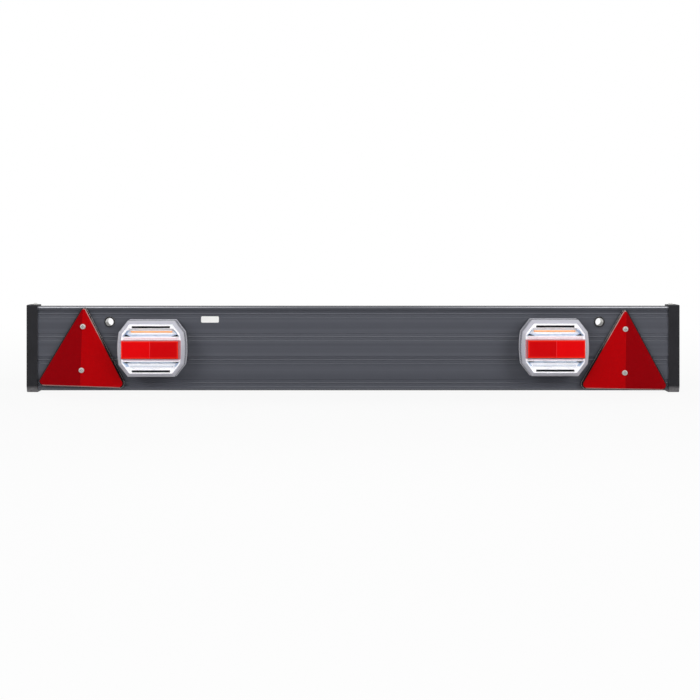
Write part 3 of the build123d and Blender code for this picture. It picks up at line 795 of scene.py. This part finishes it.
# Rose acrylic pips on the tail bar: a glossy bead at each point of light.
PIP_FINISH = Moulded("acrylic_rose_pip", "#C8848F", 0.25, ior=1.49, light="#D0949E", grain_depth_mm=0.005)
# Acrylic brake bar, smoked a little: grey with a rose cast.
BRAKE_FINISH = Moulded("acrylic_smoked_brake_bar", "#BFA8B2", 0.4, ior=1.49, light="#CBB6C0")
# Clear polycarbonate cover, polished: sharp highlights over a clear view of the tray.
COVER_FINISH = ClearCover("polycarbonate_clear_cover", "#FDFDFE", 0.03, ior=1.58)
# The cover's bevel, skirt and lip, satin from the mould: a milky silver grey with a cool cast and a highlight
# painted along its edges.
SKIRT_FINISH = SatinCover("polycarbonate_satin_skirt", "#DADAE0", 0.2, ior=1.58, clarity=0.5)


def dress(node: str, finish: Finish) -> bpy.types.Object:
    """Gives a CAD node its finish.

    Args:
        node: Name of the node.
        finish: Finish that it takes.

    Returns:
        The node's object.
    """
    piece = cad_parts[node]
    piece.data.materials.clear()
    piece.data.materials.append(finish.material())
    LOG.info("%s: %s", node, finish.name)
    return piece


def circle(x: float, y: float, z: float, radii: list[float]) -> list[Vector]:
    """Points round an axis along Y.

    Args:
        x: Place of the axis.
        y: Height of the ring along the axis.
        z: Place of the axis.
        radii: Radius at each point of the ring.

    Returns:
        The ring's points.
    """
    turns = [2 * math.pi * i / len(radii) for i in range(len(radii))]
    return [Vector((x + r * math.cos(t), y, z + r * math.sin(t))) for t, r in zip(turns, radii)]


def skin_rings(form: bmesh.types.BMesh, rings: list[list[Vector]]) -> None:
    """Adds a closed turned form through rings of equally many points.

    Args:
        form: Form that takes the faces.
        rings: Rings in order, from one end to the other.
    """
    rows = [[form.verts.new(point) for point in ring] for ring in rings]
    for low, high in zip(rows, rows[1:]):
        for i, vert in enumerate(low):
            form.faces.new((vert, low[i - 1], high[i - 1], high[i]))
    form.faces.new(rows[0])
    form.faces.new(reversed(rows[-1]))


def add_piece(name: str, form: bmesh.types.BMesh, finish: Finish) -> bpy.types.Object:
    """Adds a new piece that rides on the board.

    Args:
        name: Name of the piece.
        form: Its form in the row frame, which is freed here.
        finish: Finish that it takes.

    Returns:
        The new object.
    """
    bmesh.ops.recalc_face_normals(form, faces=form.faces)
    mesh = bpy.data.meshes.new(name)
    form.to_mesh(mesh)
    form.free()
    mesh.shade_smooth()
    mesh.set_sharp_from_angle(angle=math.radians(SHARP_DEG))
    mesh.materials.append(finish.material())
    piece = bpy.data.objects.new(name, mesh)
    bpy.context.scene.collection.objects.link(piece)
    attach(piece, BODY)
    LOG.info("%s: %s, %d faces", name, finish.name, len(mesh.polygons))
    return piece


@dataclass
class Plank:
    """The hollow plank with its caps, bushes, label and grommet."""

    edge_down_mm: float = 1.9
    deep_down_mm: float = 7.2

    def finish(self) -> ExtrudedAluminium:
        """The plank's finish, with a highlight painted a little below the top of its front and painted shade
        below that.

        Returns:
            The finish of the plank.
        """
        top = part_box("board_profile")[1].z
        # Black anodised extrusion: a hard clear oxide film over a dark satin ground in long faint lines.
        # Die lines are some 0.3 mm apart and drawn wider, so that they show.
        return ExtrudedAluminium("anodised_aluminium_extruded", "#4E5058", 0.26, ior=1.77,
                                 rub_z=top - self.edge_down_mm * MM, deep_z=top - self.deep_down_mm * MM)

    def label_finish(self) -> LaminatedLabel:
        """The label's finish, about the middle of its face.

        Returns:
            The finish of the label.
        """
        low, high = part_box("blank_label")
        middle = (low + high) / 2
        # Polyester label film, laminated: flat white with a faint orange-peel, in a clear margin.
        return LaminatedLabel("polyester_label_film", "#EEEEEC", 0.45, ior=1.57, light="#F4F4F2", flow_mm=8.0,
                              grain_depth_mm=0.004, centre=(middle.x, middle.z),
                              half=(high.x - middle.x, high.z - middle.z))

    def dress(self) -> None:
        """Gives each piece of the plank its finish."""
        dress("board_profile", self.finish())
        dress("end_cap_screws", ZINC_FINISH)
        dress("blank_label", self.label_finish())
        dress("cable_grommet", RUBBER_FINISH)
        for side in Side:
            dress(f"end_cap_{side.word}", CAP_FINISH)
            dress(f"mount_bush_{side.word}", BUSH_FINISH)


@dataclass
class Reflector:
    """One triangular reflector: red lens, back plate and two screws."""

    side: Side
    turn_deg: float
    seam_shift_mm: float = 1.7
    ledge_mm: float = 2.5

    def name(self, piece: str) -> str:
        """The full name of one of this reflector's pieces."""
        return f"reflector_{self.side.word}_{piece}"

    def finish(self) -> PrismAcrylic:
        """The red finish, with painted shade on the field on the board's outer side.

        Returns:
            The finish of this reflector's lens.
        """
        low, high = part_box(self.name("screws"))
        middle = (low + high) / 2
        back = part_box(self.name("lens"))[1].y
        seam_x = middle.x + self.side.value * self.seam_shift_mm * MM
        # Red acrylic triangle: a deep clear red whose two prism fields take the light differently, shown as
        # painted shade on one field.
        return PrismAcrylic(f"acrylic_red_prism_lens_{self.side.word}", "#B70006", 0.1, ior=1.49,
                            dark_side=self.side.value, centre=(seam_x, middle.z), turn_deg=self.turn_deg,
                            ledge_y=back - self.ledge_mm * MM)

    def dress(self) -> None:
        """Gives each piece of the reflector its finish."""
        for piece, finish in (("lens", self.finish()), ("back", BACK_PLATE_FINISH), ("screws", ZINC_FINISH)):
            dress(self.name(piece), finish)


@dataclass
class Lamp:
    """One lamp: base, circuit, bright tray with its guides and bars, red panel and clear cover."""

    side: Side
    panel_half_mm: Pair = (51.5, 15.8)
    panel_shift_mm: float = 1.9
    panel_flange_mm: float = 2.0
    flat_share: float = 0.92
    amber_clear_share: float = 0.34
    pip_count: int = 33
    pip_pitch_mm: float = 2.9
    pip_radius_mm: float = 0.9
    pip_height_mm: float = 0.22
    pip_rises: tuple[float, ...] = (0.0, 0.35, 0.65, 0.9)
    stud_span_mm: float = 80.0
    stud_radius_mm: float = 2.5
    stud_head_radius_mm: float = 5.0
    stud_head_mm: float = 3.5
    thread_mm: float = 12.0
    thread_pitch_mm: float = 0.8
    thread_depth_mm: float = 0.43
    thread_steps: int = 6
    points: int = 20
    lip_band_mm: float = 3.0
    lip_profile_mm: tuple[Pair, ...] = (
        (-0.4, 0.1), (-0.4, 1.9), (0.6, 1.9), (1.0, 1.5), (1.0, 0.5), (0.7, 0.1))
    # The cover's outline is read to a hundredth of a millimetre, in metres.
    outline_digits: int = 5

    def name(self, piece: str) -> str:
        """The full name of one of this lamp's pieces."""
        return f"lamp_{self.side.word}_{piece}"

    def build(self) -> None:
        """Builds the fine pieces and dresses all of them."""
        self.build_pips()
        self.build_studs()
        self.build_lip()
        self.dress()

    def build_pips(self) -> None:
        """Adds a row of low round pips along the tail bar's front."""
        low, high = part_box(self.name("tail_bar"))
        middle = (low + high) / 2
        form = bmesh.new()
        for i in range(self.pip_count):
            x = middle.x + (i - (self.pip_count - 1) / 2) * self.pip_pitch_mm * MM
            rings = []
            for rise in self.pip_rises:
                radius = self.pip_radius_mm * MM * math.sqrt(1.0 - rise ** 2)
                y = low.y - self.pip_height_mm * MM * rise
                rings.append(circle(x, y, middle.z, [radius] * self.points))
            skin_rings(form, rings)
        add_piece(self.name("tail_pips"), form, PIP_FINISH)

    def thread_radii(self, y: float) -> list[float]:
        """Radius of the thread round the stud at one height.

        Args:
            y: Height along the stud.

        Returns:
            The radius at each point of the ring.
        """
        radii = []
        for i in range(self.points):
            turn = (y / (self.thread_pitch_mm * MM) - i / self.points) % 1.0
            cut = abs(2.0 * turn - 1.0)
            radii.append((self.stud_radius_mm - self.thread_depth_mm * cut) * MM)
        return radii

    def build_studs(self) -> None:
        """Builds both studs with a cut thread at their tails, in place of the plain ones."""
        node = self.name("studs")
        low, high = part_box(node)
        middle = (low + high) / 2
        shank = [self.stud_radius_mm * MM] * self.points
        head = [self.stud_head_radius_mm * MM] * self.points
        under = low.y + self.stud_head_mm * MM
        start = high.y - self.thread_mm * MM
        step = self.thread_pitch_mm * MM / self.thread_steps
        form = bmesh.new()
        for side in Side:
            x = middle.x + side.value * self.stud_span_mm / 2 * MM
            profile = [(low.y, head), (under, head), (under, shank), (start, shank)]
            profile += [(start + i * step, self.thread_radii(start + i * step))
                        for i in range(1, int(self.thread_mm * MM / step))]
            profile.append((high.y, [(self.stud_radius_mm - self.thread_depth_mm) * MM] * self.points))
            skin_rings(form, [circle(x, y, middle.z, radii) for y, radii in profile])
        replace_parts(add_piece(self.name("threaded_studs"), form, ZINC_FINISH), node)

    def build_lip(self) -> None:
        """Adds the thin moulded lip that runs round the back edge of the cover."""
        node = self.name("lens")
        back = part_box(node)[1].y
        rim = sorted({tuple(round(place, self.outline_digits) for place in (vertex.co.x, vertex.co.z))
                      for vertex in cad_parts[node].data.vertices
                      if back - vertex.co.y < self.lip_band_mm * MM})
        outline = [Vector(rim[i]) for i in convex_hull_2d(rim)]
        form = bmesh.new()
        loops = []
        for out_mm, up_mm in self.lip_profile_mm:
            loop = []
            for i, point in enumerate(outline):
                along = outline[(i + 1) % len(outline)] - outline[i - 1]
                place = point + Vector((along.y, -along.x)).normalized() * out_mm * MM
                loop.append(form.verts.new((place.x, back - up_mm * MM, place.y)))
            loops.append(loop)
        for i, loop in enumerate(loops):
            for j, vert in enumerate(loop):
                form.faces.new((vert, loop[j - 1], loops[i - 1][j - 1], loops[i - 1][j]))
        add_piece(self.name("cover_lip"), form, SKIRT_FINISH)

    def tray_finish(self) -> BrightTray:
        """The tray's finish, about the middle of this lamp.

        Returns:
            The finish of this lamp's tray.
        """
        low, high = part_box(self.name("tray"))
        # Tray moulded in white polycarbonate, its bevel in silver lacquer: a bright, clean inside.
        return BrightTray(f"polycarbonate_lacquered_tray_{self.side.word}", "#F2F1F1", 0.3, ior=1.58,
                          middle_x=(low.x + high.x) / 2, middle_z=(low.z + high.z) / 2)

    def amber_finish(self) -> TippedGuide:
        """The amber strip's finish, clear along its upper edge.

        Returns:
            The finish of this lamp's amber strip.
        """
        low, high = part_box(self.name("indicator_guide"))
        # Amber acrylic moulded on to a clear strip: it glows pale where the tray lights it.
        return TippedGuide(f"acrylic_amber_guide_{self.side.word}", "#FFA452", 0.2, ior=1.49, light="#FFB066",
                           flow_mm=25.0, grain_depth_mm=0.005,
                           clear_z=high.z - self.amber_clear_share * (high.z - low.z))

    def panel_finish(self) -> RimmedPrism:
        """The red panel's finish, about the middle of its face.

        Returns:
            The finish of this lamp's panel.
        """
        low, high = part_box(self.name("reflex_panel"))
        middle = (low + high) / 2
        x = middle.x + self.side.value * self.panel_shift_mm * MM
        # Red acrylic panel, painted brighter than the triangles as light from the tray behind it, with its
        # bevel painted bright as a highlight.
        return RimmedPrism(f"acrylic_red_reflex_panel_{self.side.word}", "#E80409", 0.1, ior=1.49,
                           deep="#D20409", wall="#A00010", edge="#F0343A", lit_edge="#F0343A",
                           ledge="#EE9AA2", lip="#EE9AA2", cell_mm=2.2, cell_share=0.1,
                           dark_side=-self.side.value, centre=(x, middle.z),
                           half=tuple(size * MM for size in self.panel_half_mm),
                           ledge_y=high.y - self.panel_flange_mm * MM)

    def dress(self) -> None:
        """Gives each piece of the lamp its finish."""
        finishes = {
            "base": LAMP_BASE_FINISH, "gasket": GASKET_FINISH, "gland": RUBBER_FINISH,
            "washers": ZINC_FINISH, "nuts": ZINC_FINISH, "studs": ZINC_FINISH,
            "circuit_board": LAMINATE_FINISH, "diodes": DIODE_FINISH, "tray": self.tray_finish(),
            "indicator_guide": self.amber_finish(), "fog_guide": FOG_FINISH, "tail_bar": TAIL_FINISH,
            "brake_bar": BRAKE_FINISH, "reflex_panel": self.panel_finish(),
        }
        for piece, finish in finishes.items():
            dress(self.name(piece), finish)
        self.dress_cover()

    def dress_cover(self) -> None:
        """Dresses the cover: clear in front, satin on its bevel and skirt."""
        cover = dress(self.name("lens"), COVER_FINISH)
        cover.data.materials.append(SKIRT_FINISH.material())
        for polygon in cover.data.polygons:
            polygon.material_index = int(abs(polygon.normal.y) < self.flat_share)


def unscattered(tree: Tree, kind: str) -> Socket:
    """Adds a test for rays of one kind that no matt surface has scattered.

    Args:
        tree: Node tree of the floor or the room.
        kind: Output of the Light Path node that names the kind.

    Returns:
        One for such a ray, and nothing for any other.
    """
    half_a_bounce = 0.5
    rays = add_node(tree, "LightPath")
    first = add_node(tree, "Math", {"operation": "LESS_THAN", 1: half_a_bounce},
                     {0: rays.outputs["Diffuse Depth"]})
    kept = add_node(tree, "Math", {"operation": "MULTIPLY"}, {0: rays.outputs[kind], 1: first.outputs[0]})
    return kept.outputs[0]


def looked_at(tree: Tree) -> Socket:
    """Adds a test for what the eye sees, straight or through glass.

    Args:
        tree: Node tree of the floor or the room.

    Returns:
        One for a ray of the eye, and nothing for light that falls on the board.
    """
    rays = add_node(tree, "LightPath")
    looked = add_node(tree, "Math", {"operation": "MAXIMUM"}, {
        0: rays.outputs["Is Camera Ray"], 1: unscattered(tree, "Is Transmission Ray")})
    return looked.outputs[0]


@dataclass
class Softbox:
    """One soft lamp of the studio, aimed at a point of the board; gloss mirrors the room in its place."""

    name: str
    place: Triple
    aim: Triple
    sides: Pair
    power: float

    def build(self) -> None:
        """Adds the lamp."""
        light = bpy.data.lights.new(self.name, "AREA")
        light.shape = "RECTANGLE"
        light.size, light.size_y = self.sides
        light.energy = self.power
        lamp = bpy.data.objects.new(self.name, light)
        lamp.location = self.place
        lamp.visible_glossy = False
        lamp.rotation_euler = (Vector(self.aim) - Vector(self.place)).to_track_quat("-Z", "Y").to_euler()
        bpy.context.scene.collection.objects.link(lamp)
        LOG.info("%s: %.1f W", self.name, self.power)


@dataclass
class Studio:
    """Pale floor, soft lamps and a room that is white to the eye; lengths in metres, powers in watts."""

    floor_side: float = 16.0
    floor_colour: str = "#EDEDED"
    bounce_colour: str = "#F0F0F0"
    shadow_reach: Pair = (0.5, 2.2)
    shadow_share: float = 0.1
    card_reach: Pair = (-0.03, 0.06)
    card_light: float = 0.03
    ceiling_rise: Pair = (0.25, 0.75)
    wall_turn: Pair = (0.35, 0.75)
    room_light: float = 0.06
    aim: Triple = (0.0, 0.0, 0.08)
    key_place: Triple = (3.1, -3.4, 1.8)
    key_sides: Pair = (2.4, 2.4)
    key_power: float = 107.0
    key_lean: float = 0.06
    back_place: Triple = (1.7, 1.4, 1.4)
    back_sides: Pair = (0.9, 0.9)
    back_power: float = 15.0
    fill_place: Triple = (0.0, -1.1, 0.75)
    fill_sides: Pair = (0.8, 0.4)
    fill_power: float = 2.6

    def build(self) -> None:
        """Adds the floor, the room and the lamps."""
        self.build_floor()
        self.build_room()
        for side in Side:
            key_power = self.key_power * (1.0 + self.key_lean * side.value)
            for name, (x, y, z), sides, power in (
                    ("key", self.key_place, self.key_sides, key_power),
                    ("back", self.back_place, self.back_sides, self.back_power)):
                Softbox(f"{side.word}_{name}", (x * side.value, y, z), self.aim, sides, power).build()
        Softbox("middle_fill", self.fill_place, self.aim, self.fill_sides, self.fill_power).build()
        bpy.context.scene.view_settings.view_transform = "Standard"

    def build_floor(self) -> None:
        """Adds the floor and its paint."""
        half = self.floor_side / 2
        mesh = bpy.data.meshes.new("floor")
        mesh.from_pydata([(-half, -half, 0), (half, -half, 0), (half, half, 0), (-half, half, 0)], [],
                         [(0, 1, 2, 3)])
        mesh.materials.append(self.floor_paint())
        floor = bpy.data.objects.new("floor", mesh)
        bpy.context.scene.collection.objects.link(floor)

    def floor_paint(self) -> bpy.types.Material:
        """Makes a paint that is white to the eye and takes the board's shadow.

        In what mirrors the floor, a dark card lies in front of the board and keeps glare off its face.

        Returns:
            The floor's material.
        """
        material = bpy.data.materials.new("painted_floor")
        tree = empty_tree(material)
        paint, bounce = (add_node(tree, "BsdfDiffuse", {"Color": linear(colour)}).outputs["BSDF"]
                         for colour in (self.floor_colour, self.bounce_colour))
        glow = add_node(tree, "Emission", {"Color": linear(WHITE)})
        shape = add_node(tree, "NewGeometry")
        away = add_node(tree, "VectorMath", {"operation": "LENGTH"}, {0: shape.outputs["Position"]})
        share = add_node(tree, "MapRange", {
            "From Min": self.shadow_reach[0], "From Max": self.shadow_reach[1],
            "To Min": 1.0 - self.shadow_share}, {"Value": away.outputs["Value"]})
        seen = add_node(tree, "MixShader", links={0: share.outputs[0], 1: paint, 2: glow.outputs["Emission"]})
        axes = add_node(tree, "SeparateXYZ", links={0: shape.outputs["Position"]})
        level = add_node(tree, "MapRange", {
            "From Min": self.card_reach[0], "From Max": self.card_reach[1], "To Min": self.card_light},
            {"Value": axes.outputs["Y"]})
        mirrored = add_node(tree, "Emission", {"Color": linear(WHITE)}, {"Strength": level.outputs[0]})
        direct = add_node(tree, "MixShader", links={0: looked_at(tree), 1: bounce, 2: seen.outputs[0]})
        whole = add_node(tree, "MixShader", links={
            0: unscattered(tree, "Is Glossy Ray"), 1: direct.outputs[0], 2: mirrored.outputs["Emission"]})
        add_node(tree, "OutputMaterial", links={"Surface": whole.outputs[0]})
        return material

    def build_room(self) -> None:
        """Adds the room: white to the eye and through glass, and a weak even light on the board.

        What mirrors the room shows it white overhead and at the sides, and dim in front and behind.
        """
        world = bpy.data.worlds.new("white_room")
        bpy.context.scene.world = world
        tree = empty_tree(world)
        place = add_node(tree, "TexCoord")
        axes = add_node(tree, "SeparateXYZ", links={0: place.outputs["Generated"]})
        aside = add_node(tree, "Math", {"operation": "ABSOLUTE"}, {0: axes.outputs["X"]})
        ceiling, walls = (
            add_node(tree, "MapRange", {"From Min": start, "From Max": end, "To Min": self.room_light},
                     {"Value": turn}).outputs[0]
            for (start, end), turn in ((self.ceiling_rise, axes.outputs["Z"]),
                                       (self.wall_turn, aside.outputs[0])))
        white = add_node(tree, "Math", {"operation": "MAXIMUM"}, {0: ceiling, 1: walls})
        lit = add_node(tree, "Mix", {"data_type": "FLOAT", 2: self.room_light},
                       {0: unscattered(tree, "Is Glossy Ray"), 3: white.outputs[0]})
        strength = add_node(tree, "Mix", {"data_type": "FLOAT", 3: 1.0},
                            {0: looked_at(tree), 2: lit.outputs[0]})
        room = add_node(tree, "Background", {"Color": linear(WHITE)}, {"Strength": strength.outputs[0]})
        add_node(tree, "OutputWorld", links={"Surface": room.outputs[0]})


@dataclass
class PhotoCamera:
    """Camera that stands where the photograph's stood, level and square to the board."""

    image_px: float = 700.0
    board_px: float = 652.8
    board_middle_px: Pair = (353.05, 348.45)
    vanishing_px: Pair = (350.0, 248.0)
    distance: float = 2.3
    sensor_mm: float = 36.0
    clip_end: float = 100.0

    def build(self) -> None:
        """Adds the camera from the pixel places of the board and of the vanishing point."""
        low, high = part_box("board_profile")
        metres_per_px = (CAD_BOX[1].x - CAD_BOX[0].x) / self.board_px
        data = bpy.data.cameras.new("photo_camera")
        data.sensor_width = self.sensor_mm
        data.lens = self.sensor_mm * self.distance / (self.image_px * metres_per_px)
        data.shift_x = (self.image_px / 2 - self.vanishing_px[0]) / self.image_px
        data.shift_y = (self.vanishing_px[1] - self.image_px / 2) / self.image_px
        data.clip_end = self.clip_end
        camera = bpy.data.objects.new("photo_camera", data)
        camera.location = (
            (self.vanishing_px[0] - self.board_middle_px[0]) * metres_per_px,
            low.y - self.distance,
            (low.z + high.z) / 2 + (self.board_middle_px[1] - self.vanishing_px[1]) * metres_per_px,
        )
        camera.rotation_euler = (math.pi / 2, 0.0, 0.0)
        bpy.context.scene.collection.objects.link(camera)
        bpy.context.scene.camera = camera


def main() -> None:
    """Builds and dresses the board, then its studio and camera."""
    logging.basicConfig(level=logging.INFO, format="%(name)s: %(message)s")
    Plank().dress()
    Reflector(Side.LEFT, turn_deg=1.9).dress()
    Reflector(Side.RIGHT, turn_deg=0.9).dress()
    for side in Side:
        Lamp(side).build()
    Studio().build()
    PhotoCamera().build()


if __name__ == "__main__":
    main()
